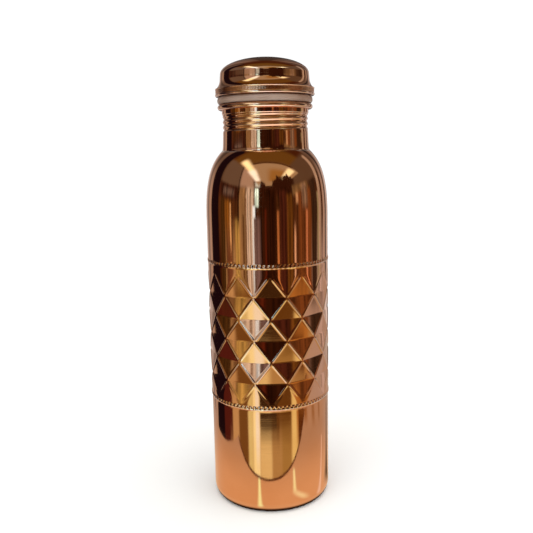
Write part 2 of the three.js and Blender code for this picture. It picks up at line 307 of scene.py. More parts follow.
def diamonds(radius, angle, height):
    """The embossed wall: flat triangles that meet in level creases, with a rounded, slightly raised
    line along every sloping edge."""
    level = (height - BAND_BOTTOM) / ROW_HEIGHT
    row = int(np.clip(math.floor(level + 1e-6), 0, DIAMOND_ROWS - 1))
    rise = level - row
    spacing = FULL_TURN / DIAMONDS_AROUND
    chord = math.cos(spacing / 2)
    turn = 0 if row % 2 == 0 else spacing / 2
    above = (chord + (1 - chord) * rise) / np.cos(from_nearest(angle - turn - spacing / 2, spacing))
    below = (1 + (chord - 1) * rise) / np.cos(from_nearest(angle - turn, spacing))
    if row == 0:
        above = np.ones_like(angle)
    if row == DIAMOND_ROWS - 1:
        below = np.ones_like(angle)
    wall = smooth_min(above * radius, below * radius, RIDGE_BLEND)
    wall = radius + (wall - radius) * FACET_DEPTH
    half = spacing / 2
    slope = math.atan2(ROW_HEIGHT, PLAIN_RADIUS * half)
    across = PLAIN_RADIUS * half * math.sin(slope)
    rising = from_nearest(angle / half - level, 2) * across
    falling = from_nearest(angle / half + level, 2) * across
    from_ridge = np.minimum(rising, falling)
    to_corner = np.maximum(rising, falling) / math.sin(2 * slope)
    ends = smoothstep(*LINES_START, level) * smoothstep(*LINES_END, DIAMOND_ROWS - level)
    near_corner = smoothstep(0.3 * RIDGE_GAP, RIDGE_GAP, to_corner)
    ends = ends * (RIDGE_CORNER + (1 - RIDGE_CORNER) * near_corner)
    line_shape = np.cos(np.clip(from_ridge / RIDGE_HALF_WIDTH, 0, 1) * math.pi / 2) ** 2
    return wall + RIDGE_RISE * ends * line_shape


def diamonds_inside(radius, angle, height):
    """The same relief inside, one thickness of the sheet further in."""
    return diamonds(radius + SHEET, angle, height) - SHEET


def beading(bottom, below, above):
    """Relief of a beaded line: a rounded lip with upright ribs standing on it, on a wall that steps
    from below to above."""

    def relief(radius, angle, height):
        share = (height - bottom) / BEAD_HEIGHT
        wall = below + (above - below) * smoothstep(*WALL_STEP, share)
        lip = math.exp(-(((share - LIP_MIDDLE) / LIP_SPREAD) ** 2))
        upright = smoothstep(*RIBS_START, share) * (1 - smoothstep(*RIBS_END, share))
        rib = 0.5 + 0.5 * np.cos(angle * BEADS_AROUND)
        notched = upright * (1 - rib) * (1 - lip)
        raised = np.maximum(lip * (LIP_PLAIN + (1 - LIP_PLAIN) * rib), upright * rib)
        return wall + (BEAD_PEAK - wall) * raised - BEAD_NOTCH * notched

    return relief


def thread_wave(angle, height, plain):
    """1 on a ridge of the right-hand thread and 0 in the groove, fading to plain at both ends."""
    from_crest = (height - THREAD_PHASE) / THREAD_PITCH - (angle - math.pi / 2) / FULL_TURN
    wave = (0.5 + 0.5 * np.cos(FULL_TURN * from_crest)) ** THREAD_SHARPNESS
    fade = smoothstep(THREAD_BOTTOM, THREAD_BOTTOM + THREAD_RUNOUT, height)
    fade *= 1 - smoothstep(THREAD_TOP - THREAD_RUNOUT, THREAD_TOP, height)
    return plain + (wave - plain) * fade


def rolled_groove(radius, angle, height):
    """The neck's thread, pressed into the sheet from its crests."""
    return radius - THREAD_DEPTH * (1 - thread_wave(angle, height, 1))


def male_thread(radius, angle, height):
    """The sleeve's thread, raised from its root."""
    return radius + THREAD_DEPTH * thread_wave(angle, height, 0)


def fine_knurl(radius, angle, height):
    """Crossed knurl of the lid's grip."""
    climb = KNURL_SLOPE * height * FLANGE_KNURLS / FLANGE_RADIUS
    crossed = np.cos(angle * FLANGE_KNURLS / 2 + climb) * np.cos(angle * FLANGE_KNURLS / 2 - climb)
    return radius + KNURL_DEPTH * crossed


# ---- materials ----

COPPER_BRIGHT = (0.91, 0.43, 0.22)
COPPER_DARK = (0.85, 0.38, 0.18)
# Painted highlight: copper's colour made pale on its sharp ridges, in place of the bright lines of
# light they catch. A ridge is where the surface's pointiness is over a half.
EMBOSSED_RIDGE_HIGHLIGHT = (1.0, 0.74, 0.57)
SMOOTH_RIDGE_HIGHLIGHT = (0.96, 0.55, 0.36)
HIGHLIGHT_STARTS, HIGHLIGHT_FULL = 0.507, 0.516
RIPPLE_HEIGHT = 0.0006  # in metres


def new_material(name):
    material = bpy.data.materials.new(name)
    material.use_nodes = True
    nodes, links = material.node_tree.nodes, material.node_tree.links
    return material, nodes, links, nodes["Principled BSDF"]


def noise_node(nodes, links, place, scale, detail, stretch=(1, 1, 1)):
    """Noise over the place, stretched along its axes."""
    mapping = nodes.new("ShaderNodeMapping")
    mapping.inputs["Scale"].default_value = stretch
    links.new(place, mapping.inputs["Vector"])
    noise = nodes.new("ShaderNodeTexNoise")
    noise.inputs["Scale"].default_value = scale
    noise.inputs["Detail"].default_value = detail
    links.new(mapping.outputs["Vector"], noise.inputs["Vector"])
    return noise.outputs["Fac"]


def mix_node(nodes, links, share, a, b):
    """The colour that is share of the way from a to b, which are colours or sockets."""
    node = nodes.new("ShaderNodeMix")
    node.data_type = "RGBA"
    for name, value in (("Factor", share), ("A", a), ("B", b)):
        if isinstance(value, tuple):
            node.inputs[name].default_value = (*value, 1)
        else:
            links.new(value, node.inputs[name])
    return node.outputs["Result"]


def range_node(nodes, links, value, start, end, low=0, high=1, smooth=False):
    """The value, from start to end, as low to high. Start may be the higher of the two."""
    node = nodes.new("ShaderNodeMapRange")
    if smooth:
        node.interpolation_type = "SMOOTHSTEP"
    node.inputs["From Min"].default_value = start
    node.inputs["From Max"].default_value = end
    node.inputs["To Min"].default_value = low
    node.inputs["To Max"].default_value = high
    links.new(value, node.inputs["Value"])
    return node.outputs["Result"]


def ramp_node(nodes, links, value, stops):
    """The colour at the value on a ramp of places and colours."""
    ramp = nodes.new("ShaderNodeValToRGB")
    while len(ramp.color_ramp.elements) < len(stops):
        ramp.color_ramp.elements.new(0.5)
    for element, (place, colour) in zip(ramp.color_ramp.elements, stops):
        element.position = place
        element.color = (*colour, 1)
    links.new(value, ramp.inputs["Fac"])
    return ramp.outputs["Color"]


def copper(name, bright, dark, edge, smooth, dull, ripple):
    """Polished copper: a faint mottle of colour, a painted highlight that makes its ridges pale, fine
    polishing marks round the axis, and a soft ripple of the spun sheet."""
    material, nodes, links, shader = new_material(name)
    place = nodes.new("ShaderNodeTexCoord").outputs["Object"]
    mottle = noise_node(nodes, links, place, scale=38, detail=4)
    tint = ramp_node(nodes, links, mottle, [(0.3, dark), (0.7, bright)])
    pointiness = nodes.new("ShaderNodeNewGeometry").outputs["Pointiness"]
    # painted highlight: how far each point is a ridge that gets the pale colour, from its pointiness
    ridge_highlight_share = range_node(nodes, links, pointiness, HIGHLIGHT_STARTS, HIGHLIGHT_FULL)
    marks = noise_node(nodes, links, place, scale=60, detail=6, stretch=(1, 1, 30))
    waves = noise_node(nodes, links, place, scale=45, detail=2)
    bump = nodes.new("ShaderNodeBump")
    bump.inputs["Strength"].default_value = ripple
    bump.inputs["Distance"].default_value = RIPPLE_HEIGHT
    links.new(waves, bump.inputs["Height"])
    shader.inputs["Metallic"].default_value = 1.0
    # painted highlight: on the ridges the colour goes to edge, the pale copper in place of the light
    # they catch
    links.new(mix_node(nodes, links, ridge_highlight_share, tint, edge), shader.inputs["Base Color"])
    rough = range_node(nodes, links, marks, 0.3, 0.75, smooth, dull)
    links.new(rough, shader.inputs["Roughness"])
    links.new(bump.outputs["Normal"], shader.inputs["Normal"])
    return material


def silicone():
    """Translucent washer, cloudy, its colour darker and warmer than its own: painted shade from the
    lid's flange and a painted reflection of the copper round it.
    """
    material, nodes, links, shader = new_material("silicone")
    place = nodes.new("ShaderNodeTexCoord").outputs["Object"]
    cloud = noise_node(nodes, links, place, scale=30, detail=2)
    # painted shade and reflection: both colours are darkened and warmed for the flange's shade and
    # the copper's warm light; the cloud varies them at random
    tint = ramp_node(nodes, links, cloud, [(0.35, (0.27, 0.16, 0.11)), (0.65, (0.42, 0.3, 0.24))])
    links.new(tint, shader.inputs["Base Color"])
    shader.inputs["Roughness"].default_value = 0.42
    shader.inputs["Subsurface Weight"].default_value = 0.35
    shader.inputs["Subsurface Radius"].default_value = (0.004, 0.003, 0.002)
    shader.inputs["Subsurface Scale"].default_value = 1.0
    return material


POLISH = dict(smooth=0.035, dull=0.11, ripple=0.1)
EMBOSSED = copper("embossed_copper", COPPER_BRIGHT, COPPER_DARK, EMBOSSED_RIDGE_HIGHLIGHT, **POLISH)
POLISHED = copper("polished_copper", COPPER_BRIGHT, COPPER_DARK, SMOOTH_RIDGE_HIGHLIGHT, **POLISH)
INNER = copper(
    "inner_copper", (0.82, 0.38, 0.2), (0.7, 0.28, 0.14), SMOOTH_RIDGE_HIGHLIGHT,
    smooth=0.2, dull=0.38, ripple=0.2,
)
# the braze's third colour is its painted ridge highlight
BRAZE = copper(
    "braze", (0.72, 0.5, 0.24), (0.5, 0.3, 0.14), (0.76, 0.56, 0.3),
    smooth=0.3, dull=0.5, ripple=0.6,
)
SILICONE = silicone()


def finish_piece(piece, material, slot, body, *nodes):
    """Gives a piece its material and body, and hides the CAD nodes it stands for; the slot is not
    used.
    """
    piece.data.materials.append(material)
    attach(piece, body)
    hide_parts(*nodes)
    return piece


# ---- the bottle ----


def body_shell():
    """The body's sheet: foot, lower wall, bead line, diamonds, bead line, upper wall, shoulder,
    then back down the inside."""
    corner = (FOOT_REST_RADIUS, FOOT_CORNER_HEIGHT)
    corner_radii = (LOWER_RADIUS - FOOT_REST_RADIUS, FOOT_CORNER_HEIGHT)
    lower_bead_top = LOWER_BEAD_BOTTOM + BEAD_HEIGHT
    upper_bead_top = UPPER_BEAD_BOTTOM + BEAD_HEIGHT
    shoulder = bezier(SHOULDER_CURVE, 44)
    foot = [(FOOT_INNER_RADIUS, FOOT_BEVEL), (FOOT_INNER_RADIUS + FOOT_BEVEL, 0.0)]
    foot += line((FOOT_INNER_RADIUS + 0.3, 0), (FOOT_REST_RADIUS, 0), 3)
    foot += arc(corner, corner_radii, -90, 0, 20)
    below_bead = [LOWER_BEAD_BOTTOM - FAR_RING, LOWER_BEAD_BOTTOM - NEAR_RING]
    foot += line((LOWER_RADIUS, FOOT_CORNER_HEIGHT + 1.5), (LOWER_RADIUS, below_bead[1]), 12)
    loops = rings(foot, WALL_COLUMNS)
    loops += rings([(LOWER_RADIUS, h) for h in below_bead], WALL_COLUMNS)
    bead_heights = np.linspace(LOWER_BEAD_BOTTOM, lower_bead_top, BEAD_RINGS)
    relief = beading(LOWER_BEAD_BOTTOM, LOWER_RADIUS, PLAIN_RADIUS)
    loops += rings([(PLAIN_RADIUS, h) for h in bead_heights], BEAD_COLUMNS, relief)
    band_steps = DIAMOND_ROWS * BAND_COLUMNS // DIAMONDS_AROUND // 2
    band_heights = np.linspace(BAND_BOTTOM, BAND_TOP, band_steps + 1)
    band_heights = band_heights[band_heights > lower_bead_top + 0.05]
    loops += rings([(PLAIN_RADIUS, h) for h in band_heights], BAND_COLUMNS, diamonds)
    margin = [BAND_TOP + 1, UPPER_BEAD_BOTTOM - FAR_RING, UPPER_BEAD_BOTTOM - NEAR_RING]
    loops += rings([(PLAIN_RADIUS, h) for h in margin], BAND_COLUMNS)
    bead_heights = np.linspace(UPPER_BEAD_BOTTOM, upper_bead_top, BEAD_RINGS)
    relief = beading(UPPER_BEAD_BOTTOM, PLAIN_RADIUS, PLAIN_RADIUS)
    loops += rings([(PLAIN_RADIUS, h) for h in bead_heights], BEAD_COLUMNS, relief)
    upper = [(PLAIN_RADIUS, upper_bead_top + NEAR_RING)]
    upper += line((PLAIN_RADIUS, upper_bead_top + FAR_RING), (PLAIN_RADIUS, SHOULDER_BOTTOM), 8)
    loops += rings(upper + shoulder, WALL_COLUMNS)

    inner_shoulder = inset(shoulder, SHEET)[:-1]
    loops += rings([(MOUTH_RADIUS, SHOULDER_TOP - SHEET)] + inner_shoulder[::-4], INSIDE_COLUMNS)
    inner_radius = PLAIN_RADIUS - SHEET
    loops += rings([(inner_radius, BAND_TOP + 1)], INSIDE_COLUMNS)
    band_inside = [(inner_radius, h) for h in band_heights[::-6]]
    loops += rings(band_inside, 2 * INSIDE_COLUMNS, diamonds_inside)
    loops += rings([(LOWER_RADIUS - SHEET, LOWER_BEAD_BOTTOM)], INSIDE_COLUMNS)
    inner_radii = (corner_radii[0] - SHEET, corner_radii[1] - SHEET)
    loops += rings(arc(corner, inner_radii, 0, -90, 8), INSIDE_COLUMNS)
    rim = [(FOOT_INNER_RADIUS + FOOT_BEVEL, SHEET), (FOOT_INNER_RADIUS, SHEET - FOOT_BEVEL)]
    loops += rings(rim, WALL_COLUMNS)
    return skin("bottle_body", loops)


def neck_collar():
    """The neck's sheet: foot, rolled thread, collar and lip, then back down the inside."""
    centre = (COLLAR_RADIUS - SHEET + LIP_RADIUS, LIP_HEIGHT)
    wall = bezier(NECK_FOOT_CURVE, 14)
    heights = np.linspace(THREAD_BOTTOM, THREAD_TOP, THREAD_RINGS)
    rises = [(THREAD_CREST, 0), (24.85, 0.3), (COLLAR_RADIUS, 0.3), (COLLAR_RADIUS, 0.7)]
    collar = bezier([(radius, THREAD_TOP + rise) for radius, rise in rises], 8)
    skirt = [(CREASE_RADIUS - SHARP, NECK_LOW.z), (CREASE_RADIUS, NECK_LOW.z + 0.2)]
    loops = rings(skirt + wall[:-1], THREAD_COLUMNS)
    loops += rings([(THREAD_CREST, h) for h in heights], THREAD_COLUMNS, rolled_groove)
    roll_in = (LIP_RADIUS - SHEET, LIP_RADIUS - SHEET)
    loops += rings(collar[1:] + arc(centre, roll_in, 180, LIP_ROLL, 18), THREAD_COLUMNS)
    loops += rings(arc(centre, (LIP_RADIUS, LIP_RADIUS), LIP_ROLL, 180, 36), THREAD_COLUMNS)
    inside = [(r - SHEET, h) for r, h in collar[::-1][:-1]]
    loops += rings(inside, THREAD_COLUMNS)
    inside = [(THREAD_CREST - SHEET, h) for h in heights[::-2]]
    loops += rings(inside, THREAD_COLUMNS, rolled_groove)
    inside = [(r - SHEET, h) for r, h in wall[:-1][::-2]]
    inside += [(CREASE_RADIUS - SHARP - SHEET, NECK_LOW.z)]
    loops += rings(inside, THREAD_COLUMNS)
    return skin("neck", loops)


def base_plate():
    """The bottom disc, pressed up inside a flat rim."""
    low, high = PLATE_LOW.z, PLATE_HIGH.z - SHEET
    rim, panel = PLATE_HIGH.x, PLATE_PANEL_RADIUS
    slope = [(panel - 3, high), (panel - 1, high), (panel - 0.6, low), (panel + 1.4, low)]
    step = bezier(slope, 12)
    under = line((2, high), (panel - 3, high), 6) + step + [(rim - SHARP, low), (rim, low + SHARP)]
    top = [(rim, low + SHEET - SHARP)] + [(r, h + SHEET) for r, h in under[:-1][::-1]]
    loops = [pole(high)] + rings(under, WALL_COLUMNS) + rings(top, WALL_COLUMNS)
    loops += [pole(high + SHEET)]
    return skin("base_plate_disc", loops, closed=False)


def braze_ring(name, outline, wobble):
    """A fillet of braze, slightly uneven round the seam."""

    def uneven(radius, angle, height):
        return radius + wobble * (np.sin(9 * angle + height) + 0.6 * np.sin(23 * angle)) / 2

    return skin(name, rings(outline, BRAZE_COLUMNS, uneven))


# ---- the lid ----


def washer():
    """The washer: a flat ring with a rounded outer edge."""
    middle = (GASKET_LOW.z + GASKET_HIGH.z) / 2
    half = (GASKET_HIGH.z - GASKET_LOW.z) / 2
    outer = (GASKET_HIGH.x - WASHER_EDGE, middle)
    bore, flat, corner = WASHER_BORE, WASHER_BORE + WASHER_FLAT, 0.2
    outline = [(bore + corner, GASKET_LOW.z), (flat, GASKET_LOW.z)]
    outline += arc(outer, (WASHER_EDGE, half), -90, 90, 22)
    outline += [(flat, GASKET_HIGH.z), (bore + corner, GASKET_HIGH.z)]
    outline += [(bore, GASKET_HIGH.z - corner), (bore, GASKET_LOW.z + corner)]
    return skin("silicone_washer", rings(outline, WALL_COLUMNS))


def dome(inward, steps):
    """The dome's outline, moved inward, from the lid's wall to short of the top."""
    radius = LID_DOME_RADIUS - inward
    height = LID_HIGH.z - LID_DOME_BOTTOM - inward
    angles = np.linspace(0, math.pi / 2, steps + 1)[:-1]
    return [(radius * math.cos(a), LID_DOME_BOTTOM + height * math.sin(a)) for a in angles]


def lid_shell():
    """The lid's sheet: hem, knurled flange between two beads, flare, wall and dome, then back
    down the inside."""
    bottom = LID_LOW.z
    flange_inside = FLANGE_RADIUS - SHEET
    hem_top = bottom + LID_HEM

    def bead(inset_by, height, radii, start, stop, steps):
        return arc((FLANGE_RADIUS - inset_by, bottom + height), radii, start, stop, steps)

    lower_bead = bead(*LOWER_LID_BEAD, -90, 62, 14)
    upper_bead = bead(*UPPER_LID_BEAD, -50, 70, 8)
    flare = bezier([(radius, bottom + height) for radius, height in LID_FLARE], 18)
    wall_bottom = (LID_WALL_RADIUS - 0.02, bottom + LID_WALL_BOTTOM)
    wall = line(wall_bottom, (LID_DOME_RADIUS, LID_DOME_BOTTOM), 6)
    hem = line((LID_HEM_RADIUS, bottom), (FLANGE_RADIUS - LOWER_LID_BEAD[0], bottom), 4)
    loops = rings(hem + lower_bead, WALL_COLUMNS)
    knurl_heights = np.linspace(bottom + KNURL_ENDS[0], bottom + KNURL_ENDS[1], KNURL_RINGS)
    loops += rings([(FLANGE_RADIUS, h) for h in knurl_heights], KNURL_COLUMNS, fine_knurl)
    loops += rings(upper_bead + flare + wall + dome(0, 30), WALL_COLUMNS)
    loops += [pole(LID_HIGH.z), pole(LID_HIGH.z - SHEET)]
    inside = dome(SHEET, 14)[::-1]
    inside += [(r - SHEET, h - 0.2) for r, h in wall[::-2] + flare[::-3]]
    inside += [(flange_inside, bottom + 3.2), (flange_inside, hem_top + SHARP)]
    inside += [(flange_inside - SHARP, hem_top), (LID_HEM_RADIUS, hem_top)]
    loops += rings(inside, INSIDE_COLUMNS)
    return skin("lid_cap", loops)


def thread_sleeve():
    """The lid's threaded sleeve, with a flange at its top that the hem holds."""
    minor = THREAD_CREST - SHEET - THREAD_DEPTH - THREAD_GAP
    bore = minor - SHEET
    plain = SLEEVE_PLAIN_RADIUS
    flange_bottom = SLEEVE_HIGH.z - SHEET
    heights = np.linspace(THREAD_BOTTOM, THREAD_TOP, SLEEVE_RINGS)
    low = SLEEVE_LOW.z
    edge = [(bore, low + SHARP), (bore + 0.15, low), (minor - SHARP, low)]
    loops = rings(edge, THREAD_COLUMNS)
    loops += rings([(minor, h) for h in heights], THREAD_COLUMNS, male_thread)
    rises = [(minor, 0.2), (minor, 0.6), (plain, 0.6), (plain, 1.2)]
    neck = bezier([(radius, THREAD_TOP + rise) for radius, rise in rises], 6)
    corner = (plain + SLEEVE_CORNER, flange_bottom - SLEEVE_CORNER)
    flange = arc(corner, (SLEEVE_CORNER, SLEEVE_CORNER), 180, 90, 6)
    outer, top = SLEEVE_HIGH.x, SLEEVE_HIGH.z
    rim = [(outer - SHARP, flange_bottom), (outer, flange_bottom + SHARP)]
    rim += [(outer, top - SHARP), (outer - SHARP, top)]
    loops += rings(neck + flange + rim, THREAD_COLUMNS)
    loops += rings(arc((bore + 1, top - 1), (1, 1), 90, 180, 5), THREAD_COLUMNS)
    return skin("thread_sleeve", loops)


finish_piece(body_shell(), EMBOSSED, "polished_copper", "bottle", "body_shell")
finish_piece(neck_collar(), POLISHED, "polished_copper", "bottle", "neck_collar")
finish_piece(base_plate(), INNER, "polished_copper", "bottle", "base_plate")
SEAT = box_mm("base_braze_ring")[0].z
base_outline = [(radius, SEAT + height) for radius, height in BASE_BRAZE]
base_ring = braze_ring("base_braze", base_outline, wobble=0.08)
finish_piece(base_ring, BRAZE, "braze", "bottle", "base_braze_ring")
neck_ring = braze_ring("neck_braze", NECK_BRAZE, wobble=0.05)
finish_piece(neck_ring, BRAZE, "braze", "bottle", "neck_braze_ring")
finish_piece(washer(), SILICONE, "silicone", "washer", "gasket")
finish_piece(lid_shell(), POLISHED, "polished_copper", "lid", "lid_shell")
finish_piece(thread_sleeve(), INNER, "polished_copper", "lid", "lid_thread_sleeve")

# ---- camera, at the photograph's viewing angle, in metres, with its lens in millimetres ----

CAMERA_DISTANCE = 0.3947
CAMERA_HEIGHT = 0.2087
CAMERA_TURN = math.radians(-1.4)
CAMERA_PITCH = math.radians(9.67)
CAMERA_YAW = math.radians(-0.13)
CAMERA_ROLL = math.radians(-1.09)
CAMERA_LENS = 44.75


def camera():
    """Looks down a little at the bottle from its front, and is turned about its own axis."""
    data = bpy.data.cameras.new("camera")
    data.lens = CAMERA_LENS
    data.clip_start = 0.01
    data.clip_end = 50
    obj = bpy.data.objects.new("camera", data)
    bpy.context.scene.collection.objects.link(obj)
    down, turn = CAMERA_PITCH, CAMERA_YAW
    level = Vector((math.sin(turn), math.cos(turn), 0))
    ahead = level * math.cos(down) - Vector((0, 0, math.sin(down)))
    right = Vector((math.cos(turn), -math.sin(turn), 0))
    up = right.cross(ahead)
    tilted_right = math.cos(CAMERA_ROLL) * right + math.sin(CAMERA_ROLL) * up
    tilted_up = -math.sin(CAMERA_ROLL) * right + math.cos(CAMERA_ROLL) * up
    axes = Matrix((tilted_right, tilted_up, -ahead)).transposed().to_4x4()
    place = Matrix.Translation((0, -CAMERA_DISTANCE, CAMERA_HEIGHT))
    obj.matrix_world = Matrix.Rotation(CAMERA_TURN, 4, "Z") @ place @ axes
    bpy.context.scene.camera = obj


camera()

# ---- studio: a pale floor, soft light, and a dim room of cards for the copper to reflect ----

FLOOR_HALF = 3.0
FLOOR_COLOUR = (0.93, 0.93, 0.93)
SUN_WIDTH, SUN_STRENGTH = 110, 3.5
SUN_TILT = (18, 8)  # degrees about X and Y

# The table top, in metres. Its front edge is at TABLE_FRONT on the axis and slopes across.
TABLE_LEFT, TABLE_RIGHT, TABLE_BACK = -0.118, 0.19, 0.35
TABLE_FRONT = -0.0789
TABLE_FRONT_SLOPE = -0.075
TABLE_LIFT = 0.00002  # above the floor
TABLE_EDGE, TABLE_EDGE_BLUR = 0.0028, 0.0012  # width of the dark near edge, and of its fade
TABLE_GLOW = (0.78, 0.62, 0.43)
TABLE_FAR_GLOW = (0.5, 0.44, 0.38)
TABLE_FALL_OFF = (0.045, 0.14)  # from one to the other, in metres from the bottle's axis
TABLE_EDGE_GLOW = (0.1, 0.045, 0.018)
TABLE_SHADOW = (0.02, 0.012, 0.01)  # under the bottle
TABLE_SHADOW_RIM = (0.0345, 0.0375)
# Streaks in the table top's glow, for the window and the room that it mirrors: start, end,
# half-width, colour.
TABLE_STREAKS = [
    ((-0.0095, -0.038), (-0.028, -0.075), 0.0036, (1.1, 1.8, 1.4)),
    ((0.029, -0.05), (0.049, -0.073), 0.0045, (1.05, 1.5, 1.2)),
    ((0.033, -0.034), (0.029, -0.05), 0.006, (1, 1.25, 1.05)),
    ((0.036, -0.021), (0.112, 0.024), 0.0034, (0.95, 0.98, 1.05)),
    ((0.044, 0.002), (0.125, 0.115), 0.011, (0.1, 0.08, 0.05)),
    ((0.145, -0.072), (0.2, -0.1), 0.02, (0.34, 0.2, 0.08)),
    ((0.15, -0.022), (0.2, -0.03), 0.02, (0.36, 0.25, 0.14)),
    ((0.15, 0.02), (0.2, 0.032), 0.014, (0.36, 0.27, 0.18)),
]

# Each card: bearing range and elevation range in degrees, edge softness, radiance. The bearing is
# 0 towards the camera's side and grows towards +X.
ROOM_CARDS = [
    # dark shapes high in the middle of the room
    ((-16, 54), (8, 40), 3, (0.035, 0.014, 0.008)),
    # wooden floor beyond the table, seen under its edge
    ((-190, 190), (-95, -17), 3, (0.5, 0.44, 0.22)),
    ((-90, -64), (-60, -8), 4, (0.58, 0.52, 0.32)),
    ((-128, -88), (-60, -8), 1.5, (0.04, 0.014, 0.006)),
    ((-66, -46), (-60, -17), 2, (0.19, 0.12, 0.04)),
    ((-46, -36), (-60, -17), 2.5, (0.8, 1.0, 0.6)),
    ((-36, -23), (-60, -17), 2, (1.1, 1.45, 1.05)),
    ((-31, -23), (-26, -17), 1.5, (1.05, 1.5, 1.8)),
    ((-23, 0), (-60, -17), 3, (0.85, 0.95, 0.6)),
    ((20, 40), (-60, -17), 3, (0.42, 0.36, 0.14)),
    ((40, 53), (-60, -17), 3, (0.88, 1.0, 0.55)),
    ((50, 72), (-24, -14), 2, (0.47, 0.28, 0.08)),
    ((76, 190), (-24, -8), 4, (0.5, 0.52, 0.6)),
    ((54, 68), (-24.8, -21.5), 1.2, (0.1, 0.035, 0.008)),
    ((-112, -81), (-24.6, -17), 2, (0.09, 0.022, 0.02)),
    ((-22, 15), (-23.9, -17), 1.2, (0.05, 0.03, 0.012)),
    ((10, 39), (-23.6, -17), 1.5, (0.14, 0.08, 0.02)),
    # the floor nearer the bottle, seen only by the threads, lips and beads
    ((-190, 190), (-95, -36), 3, (1.05, 1.15, 1.3)),
    ((-190, 190), (-95, -52), 6, (1.5, 1.85, 2.5)),
    ((-100, -48), (-95, -36), 4, (0.2, 0.15, 0.08)),
    ((-44, -19), (-95, -36), 3, (1.2, 2.0, 2.2)),
    ((94, 127), (-95, -36), 4, (0.33, 0.46, 0.55)),
    # left wall, its orange panel and the dark corner post
    ((-100, -57), (14, 48), 2, (0.15, 0.14, 0.13)),
    ((-104, -57), (4, 14), 2, (0.05, 0.022, 0.016)),
    ((-92, -66), (6, 11), 2, (0.13, 0.13, 0.15)),
    ((-98, -86), (-17, 4), 3, (0.07, 0.045, 0.015)),
    ((-86, -72), (-7, 3), 2, (0.24, 0.14, 0.03)),
    ((-84, -70), (-17, -7), 2, (0.16, 0.085, 0.05)),
    ((-75, -72), (-8, 2), 0.7, (0.8, 0.7, 0.45)),
    # curtain beside the window
    ((-63, -48), (-17, -5.5), 2, (0.62, 0.6, 0.24)),
    ((-54, -38), (-17, 15), 2, (0.3, 0.26, 0.16)),
    ((-40, -26), (-17, 17), 2, (0.58, 0.72, 0.85)),
    ((-47, -45), (-17, -3), 0.6, (0.08, 0.04, 0.01)),
    ((-41, -39.5), (-17, 6), 0.6, (0.1, 0.05, 0.02)),
    ((-33, -31.5), (-17, 14), 0.6, (0.25, 0.22, 0.2)),
    ((-57, -54.5), (-6, 42), 0.7, (0.02, 0.01, 0.004)),
    ((-28.6, -26.2), (-17, -4), 0.8, (0.85, 1.5, 2.5)),
    ((-27.6, -23), (-4, 1.5), 0.8, (0.9, 1.7, 3.0)),
    ((-23.4, -16.8), (1, 14.5), 0.8, (0.95, 2.1, 3.1)),
    ((-23, -14), (16, 21), 1.5, (0.7, 1.2, 1.7)),
    # pale wall over the curtain
    ((-54, -27), (15, 46), 3, (0.46, 0.47, 0.5)),
    # dark middle of the room
    ((-24, -11), (-17, -4), 1.5, (0.17, 0.16, 0.22)),
    ((-14, 16), (-17, 14), 2, (0.03, 0.012, 0.005)),
    ((-6, -2), (-17, 0), 1, (0.08, 0.02, 0.01)),
    ((17, 21), (-17, -1), 0.8, (0.5, 0.28, 0.13)),
    ((22, 36), (-17, 12), 2, (0.06, 0.022, 0.016)),
    ((36, 47), (-17, 8), 2, (0.15, 0.085, 0.02)),
    ((50, 53), (-17, -6.5), 0.8, (0.8, 0.68, 0.6)),
    ((48, 84), (7, 15), 2, (0.2, 0.17, 0.1)),
    ((55, 59), (2, 8), 1.5, (0.7, 0.6, 0.45)),
    # right wall
    ((60, 90), (-17, 9), 3, (0.17, 0.08, 0.03)),
    ((68, 80), (0, 14), 3, (0.3, 0.28, 0.26)),
    ((76, 80), (-17, -2), 1, (0.8, 0.45, 0.3)),
    ((90, 105), (-17, 14), 2, (0.04, 0.028, 0.02)),
    ((107, 112), (-17, 4), 1, (0.3, 0.38, 0.3)),
    ((112, 121), (-17, 40), 2, (0.48, 0.5, 0.5)),
]
# The wall behind the bottle. The photograph shows hardly anything of it, so it is invented.
BACK_RANGE, BACK_BLEND = (127, 233), 4  # its bearings, and the width of the change to it
BACK_TOP = (64, 46)  # elevations from no wall to the whole of it
BACK_LOW, BACK_HIGH = (0.45, 0.43, 0.42), (0.15, 0.135, 0.13)
BACK_CHANGE = (0, 26)  # elevations from BACK_LOW to BACK_HIGH
# Upright shapes on it: bearing range, and brightness against the wall's.
BACK_EDGE = 1.4
BACK_SHAPES = [
    (139, 146, 0.2),
    (153, 160, 1.7),
    (162, 165, 0.35),
    (171, 185, 0.42),
    (194, 202, 1.6),
    (210, 220, 0.55),
]
# Cards on the ceiling: ranges of its two directions as shares of its height above the bottle,
# rightwards then towards the camera's side.
CEILING_CARDS = [
    ((-0.95, 1.9), (0.68, 3.2), 0.05, (0.42, 0.42, 0.34)),
    ((-0.95, 1.2), (0.62, 0.72), 0.03, (0.08, 0.04, 0.01)),
    ((-1.0, 0.95), (-0.2, 0.62), 0.1, (0.15, 0.1, 0.025)),
    ((-1.0, 0.95), (-1.2, -0.1), 0.15, (0.07, 0.026, 0.01)),
    ((0.1, 1.6), (1.1, 2.4), 0.25, (0.36, 0.26, 0.09)),
    ((-0.9, -0.58), (0.3, 1.5), 0.12, (1.6, 2.1, 1.8)),
    ((-0.96, -0.56), (1.05, 2.3), 0.15, (1.35, 2.1, 2.9)),
    ((1.0, 1.52), (0.8, 2.1), 0.12, (1.4, 1.9, 1.7)),
]
# A dark doorway over all the rest, in the form of a room card.
DOORWAY = ((-129, -104), (-90, 62)), 1.5, (0.012, 0.006, 0.012)
# What shows between the cards: the lower and the upper wall.
WALL_LOW, WALL_HIGH = (0.07, 0.035, 0.015), (0.12, 0.1, 0.08)
WALL_CHANGE = (8, 18)  # elevations from WALL_LOW to WALL_HIGH
